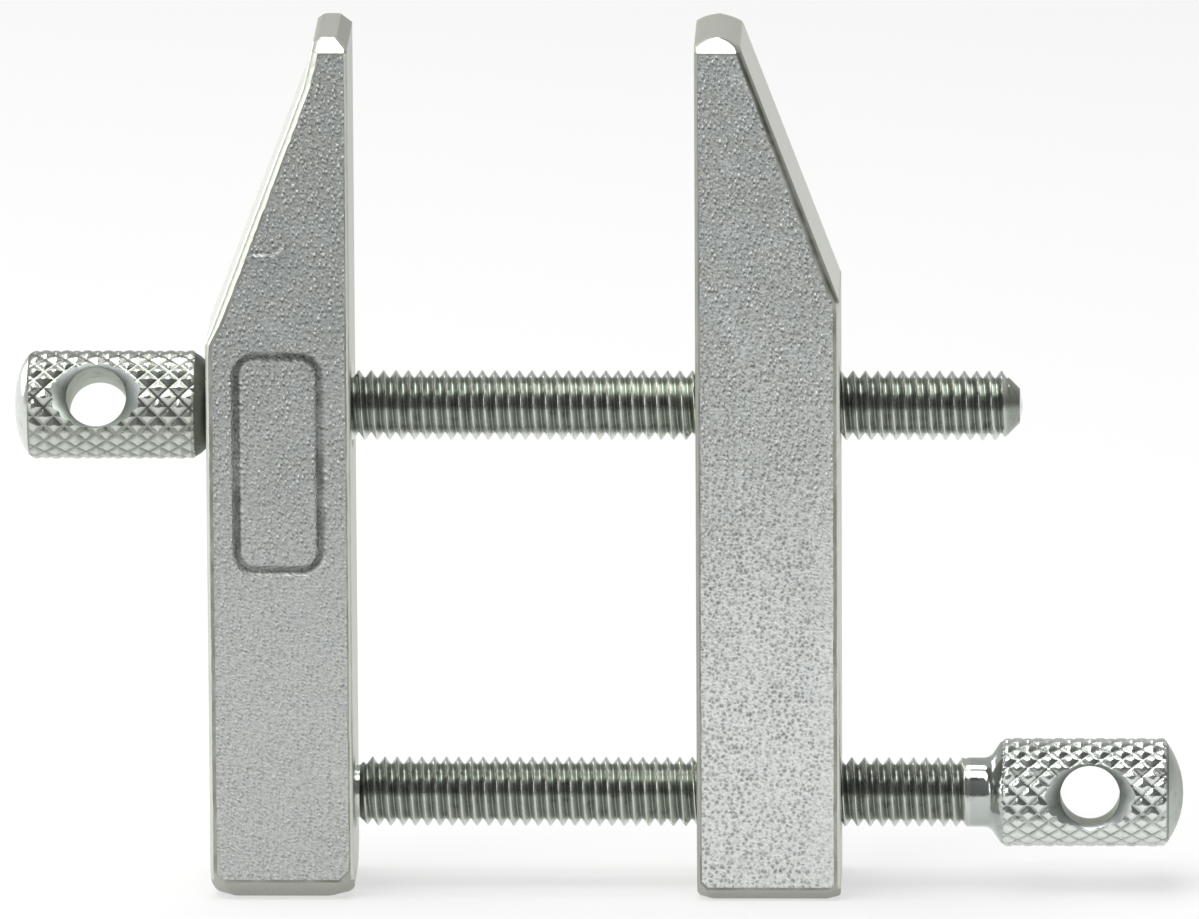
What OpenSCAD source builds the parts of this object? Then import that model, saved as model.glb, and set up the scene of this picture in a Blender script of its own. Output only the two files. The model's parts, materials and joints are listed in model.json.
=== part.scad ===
// Toolmakers clamp: two parallel jaws drawn together by two knurled screws.
// The screws run along X, the tapered noses point up, and the front of the clamp faces -Y.

/* [Jaws] */
// Length of a jaw from heel to tip
jaw_len = 50; // [46:0.5:60]
// Width of a jaw along the screws
jaw_w = 8.15; // [7:0.05:10]
// Depth of a jaw across the screws
jaw_d = 8; // [7:0.1:10]
// Gap between the gripping faces
opening = 19.5; // [0.5:0.1:25]
// Width that the plain jaw's taper leaves at the tip
plain_tip_w = 1.45; // [1.2:0.05:3]
// Width that the tapped jaw's taper leaves at the tip
tapped_tip_w = 2.4; // [1.2:0.05:3]
// Lean of the tapered nose from the gripping face, in degrees
nose_angle = 20.8; // [19:0.1:24]

/* [Jaw tips] */
// Bevel of the plain jaw's tip at the gripping face
grip_bevel = 0.6; // [0.2:0.05:0.8]
// Bevel of the plain jaw's tip on the other side
blunt_bevel = 0.25; // [0.1:0.05:0.4]
// How much wider than its taper the plain jaw's blunted tip is
blunt_w = 0.4; // [0.1:0.05:0.6]
// Length of the steeper facet that blunts the plain jaw's tip
blunt_len = 2.8; // [1.8:0.1:4]
// Rise of the rounded crown on the tapped jaw's tip
tip_crown = 0.5; // [0.2:0.05:0.6]
// Chamfer at the front and back of both tips
tip_chamfer = 0.75; // [0.3:0.05:1]

/* [Jaw edges] */
// Chamfer along the upright edges
edge_chamfer = 0.2; // [0.1:0.05:0.4]
// Chamfer along the edges of the plain jaw's nose
plain_nose_chamfer = 0.3; // [0.1:0.05:0.6]
// Chamfer along the edges of the tapped jaw's nose
tapped_nose_chamfer = 0.45; // [0.1:0.05:0.6]
// Chamfer at the front and back of the plain jaw's heel
plain_heel_chamfer = 1.05; // [0.3:0.05:1.5]
// Chamfer at the front and back of the tapped jaw's heel
tapped_heel_chamfer = 0.65; // [0.3:0.05:1.5]
// Chamfer at the sides of both heels
heel_side_chamfer = 0.7; // [0.3:0.05:1.5]

/* [Screw places] */
// Height of the rear screw above the heel
rear_screw_z = 5.4; // [5:0.1:8]
// Distance between the two screws
screw_spacing = 22.6; // [18:0.1:23]

/* [Shanks] */
// Diameter over the thread crests
thread_d = 3.95; // [3.6:0.05:5]
// Distance from one crest to the next
thread_pitch = 0.7; // [0.5:0.05:0.8]
// Plain length of each screw between its head and its thread
plain_neck = 0.85; // [0.3:0.05:2]
// Front screw, from its knurl to its free end
front_screw_len = 46.85; // [40:0.05:55]
// Rear screw, from its knurl to the shoulder of its pilot
rear_screw_len = 36.6; // [32:0.1:45]
// Bevel at the free end of the front screw
end_bevel = 1; // [0.3:0.05:1.2]
// Rise of the slightly domed free end
end_dome = 0.15; // [0.05:0.05:0.4]
// Diameter of the plain pilot that ends the rear screw
pilot_d = 3; // [2:0.1:3.4]
// Length of the pilot
pilot_len = 4; // [2:0.1:6]
// Bevel at the end of the pilot
pilot_bevel = 0.4; // [0.1:0.05:0.8]

/* [Heads] */
// Diameter over the knurl
head_d = 6.15; // [5.8:0.05:8]
// Length of a head, from the crown to the end of the knurl
head_len = 10.25; // [8:0.05:14]
// Rise of the front screw's rounded crown
front_crown = 1.33; // [0.5:0.01:2]
// Rise of the rear screw's domed crown
rear_crown = 1.1; // [0.5:0.01:2]
// Slope of the cone between the rear head and its neck, in degrees
neck_slope = 55; // [40:1:75]
// Fillet between that cone and the neck
neck_fillet = 0.6; // [0.2:0.05:1]
// Diameter of the hole for a tommy bar
bar_hole_d = 3.4; // [2.5:0.1:3.6]
// Diameter of the countersink round that hole
bar_sink_d = 5; // [3.8:0.1:5.4]
// Front tommy-bar hole, from the end of the crown
front_hole_set = 4.7; // [4:0.1:6]
// Rear tommy-bar hole, from the end of the crown
rear_hole_set = 5.3; // [4:0.1:6]
// Turn of the front screw: rise of its hole towards the front, in degrees
front_turn = 25; // [0:1:90]
// Turn of the rear screw: rise of its hole towards the front, in degrees
rear_turn = 9; // [0:1:90]

/* [Fits] */
// Room round a thread in its tapped hole
thread_play = 0.06; // [0.02:0.01:0.1]
// Room round the front screw in the plain jaw
clear_play = 0.15; // [0.1:0.01:0.3]
// Depth of the front head's cone in the plain jaw
seat_depth = 0.35; // [0.3:0.05:0.6]
// Room between that cone and its seat
seat_play = 0.04; // [0.02:0.01:0.1]
// Room round the pilot in its socket
pilot_play = 0.08; // [0.04:0.01:0.1]
// Room between the pilot's end and the floor of its socket
pilot_end_play = 0.05; // [0.02:0.01:0.2]
// Room between the pilot's shoulder and the gripping face
shoulder_gap = 0.25; // [0.1:0.05:0.5]
// Countersink at the mouth of each threaded or plain hole
mouth_chamfer = 0.3; // [0.1:0.05:0.5]

/* [Hidden] */
$fn = 64;
// How far a cutting shape reaches past the face that it cuts
past = 1;
// Steps in a quarter turn of a revolved arc
arc_steps = 12;
drill_point = 118;

head_r = head_d / 2;
thread_r = thread_d / 2;
// Flats at the crests and roots of a thread with 60 degree flanks
crest_flat = thread_pitch / 8;
root_flat = thread_pitch / 6;
flank_len = (thread_pitch - crest_flat - root_flat) / 2;
root_r = thread_r - flank_len / tan(30);
pilot_r = pilot_d / 2;
clear_r = thread_r + clear_play;
tapped_r = thread_r + thread_play;
socket_r = pilot_r + pilot_play;
socket_depth = pilot_len - shoulder_gap + pilot_end_play;
front_screw_z = rear_screw_z + screw_spacing;

// The front head narrows to its shank at 45 degrees
head_cone = head_r - thread_r;
// The rear head narrows along a straight cone and then a fillet
fillet_rise = neck_fillet * (1 - cos(neck_slope));
neck_cone = neck_fillet * sin(neck_slope) + (head_r - thread_r - fillet_rise) / tan(neck_slope);

// The plain jaw's gripping face is at x = 0 until the clamp is centred
front_head_x = -jaw_w - head_cone + seat_depth;
rear_head_x = shoulder_gap + rear_screw_len;
centre_x = (front_head_x - head_len + rear_head_x + head_len) / 2;

module centred() {
    translate([-centre_x, 0, 0]) children();
}

module at_height(z) {
    translate([0, 0, z]) children();
}

// Points the Z axis of a round shape along X
module along_x(x) {
    translate([x, 0, 0]) rotate([0, 90, 0]) children();
}

// A flat outline of [along X, height], as deep as a jaw
module across_depth() {
    rotate([90, 0, 0]) linear_extrude(jaw_d, center = true) children();
}

// A flat outline of [depth, height], as wide as a jaw
module across_width() {
    translate([-jaw_w, 0, 0]) rotate([90, 0, 90]) linear_extrude(jaw_w) children();
}

// Height at which the nose starts to taper
function nose_start(tip_w) = jaw_len - (jaw_w - tip_w) / tan(nose_angle);

// Tips from the gripping face to the taper, as [along X, height above the tip's top].
// The plain jaw's is bevelled, and blunted by a steeper facet.
function bevelled_tip(tip_w) =
    let (steep = (blunt_w - blunt_len * tan(nose_angle)) / blunt_len)
    [
        [0, -grip_bevel],
        [-grip_bevel, 0],
        [blunt_bevel - tip_w - blunt_w, 0],
        [steep * blunt_bevel - tip_w - blunt_w, -blunt_bevel],
        [-tip_w - blunt_len * tan(nose_angle), -blunt_len],
    ];

// The tapped jaw's is an arc
function crowned_tip(tip_w) =
    let (
        chord = tip_w + tip_crown * tan(nose_angle),
        ball = (chord * chord / 4 + tip_crown * tip_crown) / (2 * tip_crown),
        half = asin(chord / 2 / ball)
    )
    [for (i = [0:arc_steps]) let (a = half * (1 - 2 * i / arc_steps))
        [ball * sin(a) - chord / 2, ball * (cos(a) - 1)]];

// Outline seen from the front: straight gripping face at x = 0, tapered nose behind it
module jaw_front_outline(tip_w, tip) {
    polygon(concat(
        [[-heel_side_chamfer, 0], [0, heel_side_chamfer]],
        [for (p = tip) [p.x, jaw_len + p.y]],
        [
            [-jaw_w, nose_start(tip_w)],
            [-jaw_w, heel_side_chamfer],
            [heel_side_chamfer - jaw_w, 0],
        ]
    ));
}

// Outline seen from the side, as [depth, height], with chamfers at heel and tip
module jaw_side_outline(heel_chamfer) {
    half = jaw_d / 2;
    polygon([
        [heel_chamfer - half, 0],
        [half - heel_chamfer, 0],
        [half, heel_chamfer],
        [half, jaw_len - tip_chamfer],
        [half - tip_chamfer, jaw_len],
        [tip_chamfer - half, jaw_len],
        [-half, jaw_len - tip_chamfer],
        [-half, heel_chamfer],
    ]);
}

// Outline seen from above, with chamfers on the upright edges
module jaw_top_outline() {
    half = jaw_d / 2;
    polygon([
        [-edge_chamfer, -half],
        [0, edge_chamfer - half],
        [0, half - edge_chamfer],
        [-edge_chamfer, half],
        [edge_chamfer - jaw_w, half],
        [-jaw_w, half - edge_chamfer],
        [-jaw_w, edge_chamfer - half],
        [edge_chamfer - jaw_w, -half],
    ]);
}

// Wedge that bevels one edge of the nose; side is -1 at the front and 1 at the back
module nose_edge_cut(tip_w, nose_chamfer, side) {
    nose_len = (jaw_w - tip_w) / sin(nose_angle);
    translate([-jaw_w, side * jaw_d / 2, nose_start(tip_w)])
        rotate([0, nose_angle, 0])
            translate([0, 0, -past])
                linear_extrude(nose_len + 2 * past)
                    polygon([
                        [nose_chamfer + past, side * past],
                        [-past, side * past],
                        [-past, -side * (nose_chamfer + past)],
                    ]);
}

module jaw_blank(tip_w, tip, nose_chamfer, heel_chamfer) {
    difference() {
        intersection() {
            across_depth() jaw_front_outline(tip_w, tip);
            across_width() jaw_side_outline(heel_chamfer);
            linear_extrude(jaw_len) jaw_top_outline();
        }
        for (side = [-1, 1]) nose_edge_cut(tip_w, nose_chamfer, side);
    }
}

// Through hole across a jaw, countersunk at the gripping face
module jaw_hole(r) {
    along_x(-jaw_w - past) cylinder(h = jaw_w + 2 * past, r = r);
    along_x(-mouth_chamfer) cylinder(h = mouth_chamfer + past, r1 = r, r2 = r + mouth_chamfer + past);
}

// Countersink of a given radius in the outer face of a jaw
module outer_sink(r) {
    along_x(-jaw_w - past) cylinder(h = r + past, r1 = r + past, r2 = 0);
}

// Blind socket with a drill point, open at the gripping face, where its mouth clears the thread
module pilot_socket() {
    point = socket_r / tan(drill_point / 2);
    mouth = clear_r - socket_r;
    along_x(-socket_depth) cylinder(h = socket_depth + past, r = socket_r);
    along_x(-socket_depth - point) cylinder(h = point, r1 = 0, r2 = socket_r);
    along_x(-mouth) cylinder(h = mouth + past, r1 = socket_r, r2 = clear_r + past);
}

module plain_jaw() {
    color("silver") centred() difference() {
        jaw_blank(plain_tip_w, bevelled_tip(plain_tip_w), plain_nose_chamfer, plain_heel_chamfer);
        at_height(front_screw_z) {
            jaw_hole(clear_r);
            outer_sink(thread_r + seat_depth + seat_play);
        }
        at_height(rear_screw_z) pilot_socket();
    }
}

module tapped_jaw() {
    color("silver") centred() translate([opening, 0, 0]) mirror([1, 0, 0]) difference() {
        jaw_blank(tapped_tip_w, crowned_tip(tapped_tip_w), tapped_nose_chamfer, tapped_heel_chamfer);
        for (z = [front_screw_z, rear_screw_z]) at_height(z) {
            jaw_hole(tapped_r);
            outer_sink(tapped_r + mouth_chamfer);
        }
    }
}

// Quarter ellipse from the apex of a crown to its rim, as [radius, distance from the apex]
function rounded_crown(r, rise) =
    [for (i = [0:arc_steps]) let (a = 90 * (1 - i / arc_steps)) [r * cos(a), rise * (1 - sin(a))]];

// Arc of a sphere from the apex of a dome to its rim, as [radius, distance from the apex]
function domed_crown(r, rise) =
    let (ball = (r * r + rise * rise) / (2 * rise), rim = asin(r / ball))
    [for (i = [0:arc_steps]) let (a = rim * i / arc_steps) [ball * sin(a), ball * (1 - cos(a))]];

// Fillet from the cone of the rear head to its shank, as [radius, distance from the knurl]
function neck_arc() =
    [for (i = [0:arc_steps]) let (a = neck_slope * (1 - i / arc_steps))
        [thread_r + neck_fillet * (1 - cos(a)), neck_cone - neck_fillet * sin(a)]];

// Thread as rings of the real pitch and section, without a lead, as [radius, distance from the knurl]
function thread_rings(start, end) =
    [for (i = [0:floor((end - start) / thread_pitch) - 1]) let (x = start + i * thread_pitch)
        each [
            [thread_r, x],
            [root_r, x + flank_len],
            [root_r, x + flank_len + root_flat],
            [thread_r, x + 2 * flank_len + root_flat],
        ]];

// A crown or dome with its apex at a given place, facing back along the axis or on along it
function facing_back(points, apex) = [for (p = points) [p.x, apex + p.y]];
function facing_on(points, apex) =
    [for (i = [len(points) - 1:-1:0]) [points[i].x, apex - points[i].y]];

// Hole for a tommy bar across a head, countersunk where it breaks out on both sides
module bar_hole(set, turn) {
    sink_r = bar_sink_d / 2;
    translate([set - head_len, 0, 0]) rotate([90 - turn, 0, 0]) {
        cylinder(h = head_d + 2 * past, r = bar_hole_d / 2, center = true);
        for (flip = [0, 1]) mirror([0, 0, flip])
            translate([0, 0, head_r - sink_r])
                cylinder(h = sink_r + past, r1 = 0, r2 = sink_r + past);
    }
}

// A turned screw: its knurl ends at x = 0, and its shank runs along +X
module turned_screw(profile, hole_set, turn) {
    difference() {
        along_x(0) rotate_extrude() polygon(profile);
        bar_hole(hole_set, turn);
    }
}

module front_screw() {
    end_r = thread_r - end_bevel;
    thread_end = front_screw_len - end_dome - end_bevel;
    profile = concat(
        facing_back(rounded_crown(head_r, front_crown), -head_len),
        [[head_r, 0], [thread_r, head_cone]],
        thread_rings(head_cone + plain_neck, thread_end),
        [[thread_r, thread_end]],
        facing_on(domed_crown(end_r, end_dome), front_screw_len)
    );
    color("gainsboro") centred() translate([front_head_x, 0, front_screw_z])
        turned_screw(profile, front_hole_set, front_turn);
}

module rear_screw() {
    thread_end = rear_screw_len - thread_r + pilot_r;
    pilot_end = rear_screw_len + pilot_len;
    profile = concat(
        facing_back(domed_crown(head_r, rear_crown), -head_len),
        [[head_r, 0]],
        neck_arc(),
        thread_rings(neck_cone + plain_neck, thread_end),
        [
            [thread_r, thread_end],
            [pilot_r, rear_screw_len],
            [pilot_r, pilot_end - pilot_bevel],
            [pilot_r - pilot_bevel, pilot_end],
            [0, pilot_end],
        ]
    );
    color("gainsboro") centred() translate([rear_head_x, 0, rear_screw_z]) mirror([1, 0, 0])
        turned_screw(profile, rear_hole_set, rear_turn);
}

plain_jaw();
tapped_jaw();
front_screw();
rear_screw();
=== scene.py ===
# %% [markdown]
# # A toolmaker's clamp
# Two cast zinc-plated jaws, each about as long as a thumb, are drawn together by two knurled
# screws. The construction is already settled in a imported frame: four bodies, their joints and
# their true sizes. This lesson dresses that frame. It rebuilds each piece with the relief that a
# photograph shows, such as threads, knurls and the skin of the casting, and then gives each
# surface its finish. Everything is worked out in millimetres and handed to Blender in metres.

# %% Load the frame
import json
import math

import bmesh
import bpy
import numpy as np
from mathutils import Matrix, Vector


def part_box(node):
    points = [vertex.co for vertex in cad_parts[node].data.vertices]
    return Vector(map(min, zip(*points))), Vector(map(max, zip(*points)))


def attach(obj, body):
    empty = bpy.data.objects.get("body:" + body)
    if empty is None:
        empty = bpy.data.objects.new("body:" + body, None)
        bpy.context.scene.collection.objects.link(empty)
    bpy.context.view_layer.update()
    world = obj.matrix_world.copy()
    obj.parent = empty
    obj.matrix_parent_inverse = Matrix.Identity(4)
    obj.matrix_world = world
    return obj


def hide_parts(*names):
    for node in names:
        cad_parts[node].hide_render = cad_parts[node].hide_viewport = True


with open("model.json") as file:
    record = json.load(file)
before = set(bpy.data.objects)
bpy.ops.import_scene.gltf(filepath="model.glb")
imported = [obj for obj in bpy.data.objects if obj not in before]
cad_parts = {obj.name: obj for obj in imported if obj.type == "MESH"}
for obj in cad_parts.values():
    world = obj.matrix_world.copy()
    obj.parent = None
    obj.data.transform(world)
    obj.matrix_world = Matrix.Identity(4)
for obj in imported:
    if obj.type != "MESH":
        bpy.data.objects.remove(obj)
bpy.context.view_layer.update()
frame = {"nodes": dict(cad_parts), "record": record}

MM = 0.001


def box_mm(node):
    """Lowest and highest corner of a node, in millimetres."""
    return [np.array(corner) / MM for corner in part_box(node)]


mounts = {mount["name"]: mount for mount in frame["record"]["mounts"]}
print("nodes:", {name: np.round(box_mm(name), 3).tolist() for name in frame["nodes"]})

# %% [markdown]
# ## From points to a piece
# A real jaw is a casting and a real screw is turned on a lathe, and both can be described by a
# stack of closed rings: slices of the jaw from heel to tip, or circles along the screw. Primitives
# with modifiers would give the same outline, but rings let every point carry its own relief, so
# the threads and the cast skin are real geometry. These helpers turn rings into one closed mesh.


# %% Helpers for meshes
def loft_faces(ring_count, ring_size):
    """Quads between each ring and the next, all the way round."""
    ring = np.arange(ring_count - 1)[:, None] * ring_size
    here = np.arange(ring_size)[None, :]
    ahead = (here + 1) % ring_size
    quads = np.stack([ring + here, ring + ahead, ring + ring_size + ahead, ring + ring_size + here], -1)
    return quads.reshape(-1, 4).tolist()


def new_piece(name, points_mm, faces, finishes, finish_of_face, centre_mm=(0, 0, 0)):
    """A mesh object from points in millimetres, with the number of a finish for each face."""
    mesh = bpy.data.meshes.new(name)
    points = (np.asarray(points_mm, float) - np.array(centre_mm)) * MM
    mesh.from_pydata(points.tolist(), [], faces)
    for finish in finishes:
        mesh.materials.append(finish)
    mesh.polygons.foreach_set("material_index", np.asarray(finish_of_face, np.int32))
    piece = bpy.data.objects.new(name, mesh)
    piece.location = Vector(centre_mm) * MM
    bpy.context.scene.collection.objects.link(piece)
    return piece


def carve(piece, cutter):
    """Takes the cutter's volume out of the piece, and keeps the cut faces' own finish."""
    bpy.context.view_layer.update()
    cut = piece.modifiers.new("cut", "BOOLEAN")
    cut.operation = "DIFFERENCE"
    cut.solver = "EXACT"
    cut.object = cutter
    shaped = piece.evaluated_get(bpy.context.evaluated_depsgraph_get())
    mesh = bpy.data.meshes.new_from_object(shaped)
    mesh.name = piece.data.name
    piece.modifiers.clear()
    piece.data = mesh
    bpy.data.objects.remove(cutter)


def soften(piece, corner_degrees):
    """Smooth shading that breaks at sharp corners, and where one finish meets another."""
    work = bmesh.new()
    work.from_mesh(piece.data)
    for edge in work.edges:
        sides = edge.link_faces
        border = len(sides) == 2 and sides[0].material_index != sides[1].material_index
        sharp = edge.calc_face_angle(0) > math.radians(corner_degrees)
        edge.smooth = not (sharp or border)
    for face in work.faces:
        face.smooth = True
    work.to_mesh(piece.data)
    work.free()


def smooth_step(value, low, high):
    """0 below low, 1 above high, and an S-curve between them."""
    t = np.clip((value - low) / (high - low), 0, 1)
    return t * t * (3 - 2 * t)


# %% [markdown]
# ## Shader sums as Python
# A finish is a small program: it reads where a point is, mixes noise at a few scales, and says how
# bright, how rough and how bumpy the metal is there. Wiring that by hand takes many lines, so one
# class wraps a socket and lets ordinary Python sums add the Math nodes.


# %% A socket that can be calculated with
class Wire:
    """One socket of a node tree, for use in Python expressions."""

    def __init__(self, tree, socket=None):
        self.tree = tree
        self.socket = socket

    def node(self, kind, settings=None, sockets=None, out=0):
        """Adds a node, sets its settings first and then its sockets, and gives one output."""
        made = self.tree.nodes.new("ShaderNode" + kind)
        for key, value in (settings or {}).items():
            setattr(made, key, value)
        for key, value in (sockets or {}).items():
            if isinstance(value, Wire):
                self.tree.links.new(value.socket, made.inputs[key])
            else:
                made.inputs[key].default_value = value
        return Wire(self.tree, made.outputs[out])

    def also(self, out):
        """Another output of the same node."""
        return Wire(self.tree, self.socket.node.outputs[out])

    def maths(self, operation, *values):
        return self.node("Math", {"operation": operation}, dict(enumerate(values)))

    def apart(self, middle):
        """Distance from a value, without its sign."""
        return self.maths("ABSOLUTE", self - middle)

    def at_least(self, other):
        return self.maths("MAXIMUM", self, other)

    def at_most(self, other):
        return self.maths("MINIMUM", self, other)

    def __add__(self, other):
        return self.maths("ADD", self, other)

    __radd__ = __add__

    def __sub__(self, other):
        return self.maths("SUBTRACT", self, other)

    def __rsub__(self, other):
        return self.maths("SUBTRACT", other, self)

    def __mul__(self, other):
        return self.maths("MULTIPLY", self, other)

    __rmul__ = __mul__

    def rise(self, low, high):
        """0 below low and 1 above high, as a soft step."""
        return self.node("MapRange", {"interpolation_type": "SMOOTHSTEP"}, {0: self, 1: low, 2: high})

    def tint(self, colour_at_0, colour_at_1):
        """A colour between two others, by this value."""
        return self.node("Mix", {"data_type": "RGBA"}, {0: self, 6: colour_at_0, 7: colour_at_1}, 2)

    def stretched(self, x, y, z):
        """These coordinates, multiplied along each axis."""
        return self.node("VectorMath", {"operation": "MULTIPLY"}, {0: self, 1: (x, y, z)})

    def moved(self, x, y, z):
        """These coordinates, shifted along each axis."""
        return self.node("VectorMath", {"operation": "ADD"}, {0: self, 1: (x, y, z)})

    def wobbled(self, scale, amount):
        """These coordinates, pushed about by noise, so that what follows them looks hand-made."""
        push = self.node("TexNoise", {}, {"Vector": self, "Scale": scale, "Detail": 1.0}, "Color")
        reach = (amount, amount, amount)
        return self.node("VectorMath", {"operation": "MULTIPLY_ADD"}, {0: push, 1: reach, 2: self})

    def noise(self, scale, detail=2.0, roughness=0.5):
        sockets = {"Vector": self, "Scale": scale, "Detail": detail, "Roughness": roughness}
        return self.node("TexNoise", {}, sockets)

    def cells(self, scale):
        """Distance to the nearest of many scattered points in a plane."""
        sockets = {"Vector": self, "Scale": scale}
        return self.node("TexVoronoi", {"voronoi_dimensions": "2D"}, sockets)

    def bumped(self, distance_mm):
        """A normal tilted by this height, where 1 stands for the distance given."""
        sockets = {"Height": self, "Distance": distance_mm * MM, "Strength": 1.0}
        return self.node("Bump", {}, sockets)


def new_finish(name):
    """A metal material, its shader's sockets, and the place of a point in millimetres."""
    finish = bpy.data.materials.new(name)
    finish.use_nodes = True
    tree = finish.node_tree
    shader = tree.nodes["Principled BSDF"]
    shader.inputs["Metallic"].default_value = 1.0
    place = Wire(tree).node("TexCoord", out="Object").stretched(1 / MM, 1 / MM, 1 / MM)
    return finish, shader, place


def feed(shader, **wires):
    """Links wires to the shader's sockets, named with _ for a space."""
    for name, wire in wires.items():
        wire.tree.links.new(wire.socket, shader.inputs[name.replace("_", " ").title()])


# %% [markdown]
# ## A blank panel
# The plain jaw carries a cast panel in the middle of its front, a rounded frame with a plain field.
# Its sizes come first, because both the finish and the relief follow them. Painted shade darkens the
# groove of the frame. A painted picture could show that too, but a distance worked out in the shader
# stays sharp at any size.

# %% Sizes of the panel, in millimetres
plain_low, plain_high = box_mm("plain_jaw")
panel_w, panel_h, panel_corner = 4.7, 12.4, 1.1
panel_x, panel_z = (plain_low[0] + plain_high[0]) / 2, 25.5
panel_line = 0.40
shade_wander = 0.16
print("panel:", panel_w, "by", panel_h, "round", (round(panel_x, 2), panel_z))


# %% Painted shade in the panel's frame
def panel_shade(place, across):
    """Painted shade: 1 in the groove of the panel's frame and 0 away from it, on the front only."""
    depth, height = across.also("Y"), across.also("Z")
    side = across.apart(panel_x) - (panel_w / 2 - panel_corner)
    up = height.apart(panel_z) - (panel_h / 2 - panel_corner)
    corner = across.maths("POWER", side.at_least(0), 2) + across.maths("POWER", up.at_least(0), 2)
    distance = across.maths("SQRT", corner) + side.at_least(up).at_most(0) - panel_corner
    distance = distance + (place.noise(1.6, 3.0) - 0.5) * shade_wander
    return (1 - distance.apart(0).rise(panel_line * 0.2, panel_line * 0.75)) * (1 - depth.rise(-1, 1))


# %% [markdown]
# ## Cast zinc
# The broad faces of the jaws were left as they came from the mould and then plated: a grey,
# slightly bluish skin with fine pimples, dark pores and cloudy patches where the plating is
# paler. The larger pimples are geometry, and this finish adds what is smaller: spots and pores on
# scattered cells, ripples and patches from noise, and a fine grain in the gloss. Spots and ripples
# get a painted highlight on top and painted shade just below, so that they read as raised.


# %% Spots, pores and ripples of the skin
def scattered_spots(face, shift, reach, spread):
    """Round spots of uneven size on scattered places, which a shift moves together."""
    cells = face.moved(0, shift, 0).wobbled(3.0, 0.12).cells(3.5)
    size = cells.also("Color").rise(0.1, 0.9)
    return (1 - cells.rise(0.0, reach + size * spread)) * (0.35 + size * 0.65)


def pores(face):
    """Small hollows of uneven size, on places of their own."""
    hollows = face.wobbled(4.0, 0.2).stretched(-1, 1, 1).cells(3.7)
    size = hollows.also("Color").rise(0.05, 0.95)
    return (1 - hollows.rise(0.06, 0.36 + size * 0.28)) * (0.3 + size * 0.7)


def ripple(face, shift):
    """Slow unevenness of the skin between its spots."""
    return face.moved(0, shift, 0).noise(3.4, 2.0).rise(0.3, 0.7)


def skin_colour(height, patches, blue, tone, pale_tone, pale_band):
    """Grey zinc in cloudy patches, paler towards the heel, with some bluish areas."""
    colour = patches.tint((tone * 0.93, tone * 1.0, tone * 0.99, 1), (tone, tone * 1.02, tone * 0.97, 1))
    paler_towards_heel = 1 - height.rise(*pale_band)
    colour = paler_towards_heel.tint(colour, (pale_tone * 0.98, pale_tone, pale_tone * 0.975, 1))
    return blue.tint(colour, (pale_tone * 0.88, pale_tone * 0.96, pale_tone * 1.0, 1))


# %% Cast zinc
def cast_zinc(name, tones, pale_band, rough_band, smooth_share, pit_band, pit_range, panelled):
    """Plated casting skin. Bands are heights between which it turns from one state to the other."""
    finish, shader, place = new_finish(name)
    across = place.node("SeparateXYZ", {}, {0: place}, "X")
    height = across.also("Z") + (place.noise(0.3, 3.0) - 0.5) * 12
    # The skin lies flat, and its front and back get different parts of the same pattern
    face = place.node("CombineXYZ", {}, {"X": across + across.also("Y") * 1.7, "Y": across.also("Z")})
    patches = place.noise(0.45, 3.0).rise(0.36, 0.66)
    blue = place.noise(0.55, 2.0).rise(0.57, 0.72) * 0.4
    colour = skin_colour(height, patches, blue, *tones, pale_band)

    rough = height.rise(*rough_band) * (1 - smooth_share) + smooth_share
    # The pimples get a painted highlight, a shifted copy of them gives painted shade below, and a shifted
    # ripple does the same for ripples
    pimple_and_highlight = scattered_spots(face, 0, 0.24, 0.24)
    painted_shade_spots = scattered_spots(face, 0.13, 0.26, 0.26)
    rumple, painted_light_ripple = ripple(face, 0), ripple(face, 0.1)
    pit_low, pit_high = pit_range
    pit = pores(face) * (height.rise(*pit_band) * (pit_high - pit_low) + pit_low)
    pit = pit * (0.75 + patches * 0.4) * (1 - across.rise(11.6, 13.4) * 0.6)
    grain = place.noise(5.0, 3.0, 0.65)

    # Painted shade on what faces down, below ripples and pimples, and a painted highlight on what faces up
    layers = [
        (rough * (painted_light_ripple - rumple).rise(0.0, 0.5) * 0.38, (0.12, 0.13, 0.12, 1)),
        (rough * (rumple - painted_light_ripple).rise(0.0, 0.5) * 0.3, (0.95, 0.965, 0.935, 1)),
        (rough * painted_shade_spots * 0.85, (0.10, 0.11, 0.10, 1)),
        (rough * pimple_and_highlight * 0.95, (0.96, 0.975, 0.945, 1)),
        (pit * 0.75, (0.17, 0.18, 0.16, 1)),
        (grain.rise(0.35, 0.75) * 0.26, (0.24, 0.25, 0.24, 1)),
    ]
    if panelled:
        # Painted shade in the groove of the panel's frame
        layers.append((panel_shade(place, across) * (0.45 + patches * 0.35), (0.10, 0.105, 0.09, 1)))
    for share, tone_there in layers:
        colour = share.tint(colour, tone_there)
    relief = rough * (pimple_and_highlight + rumple * 0.45) - pit * 0.5 + grain * 0.12
    feed(
        shader,
        base_color=colour,
        roughness=0.47 + grain * 0.12 + pit * 0.15,
        normal=relief.bumped(0.09),
    )
    return finish


plain_skin = cast_zinc(
    "plain_jaw_cast_zinc",
    tones=(0.53, 0.73),
    pale_band=(9, 37),
    rough_band=(12, 34),
    smooth_share=0.55,
    pit_band=(18, 32),
    pit_range=(0.25, 0.35),
    panelled=True,
)
tapped_skin = cast_zinc(
    "tapped_jaw_cast_zinc",
    tones=(0.62, 0.97),
    pale_band=(9, 43),
    rough_band=(8, 34),
    smooth_share=0.25,
    pit_band=(16, 38),
    pit_range=(0.85, 0.5),
    panelled=False,
)
print("cast finishes:", plain_skin.name, tapped_skin.name)
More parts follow.
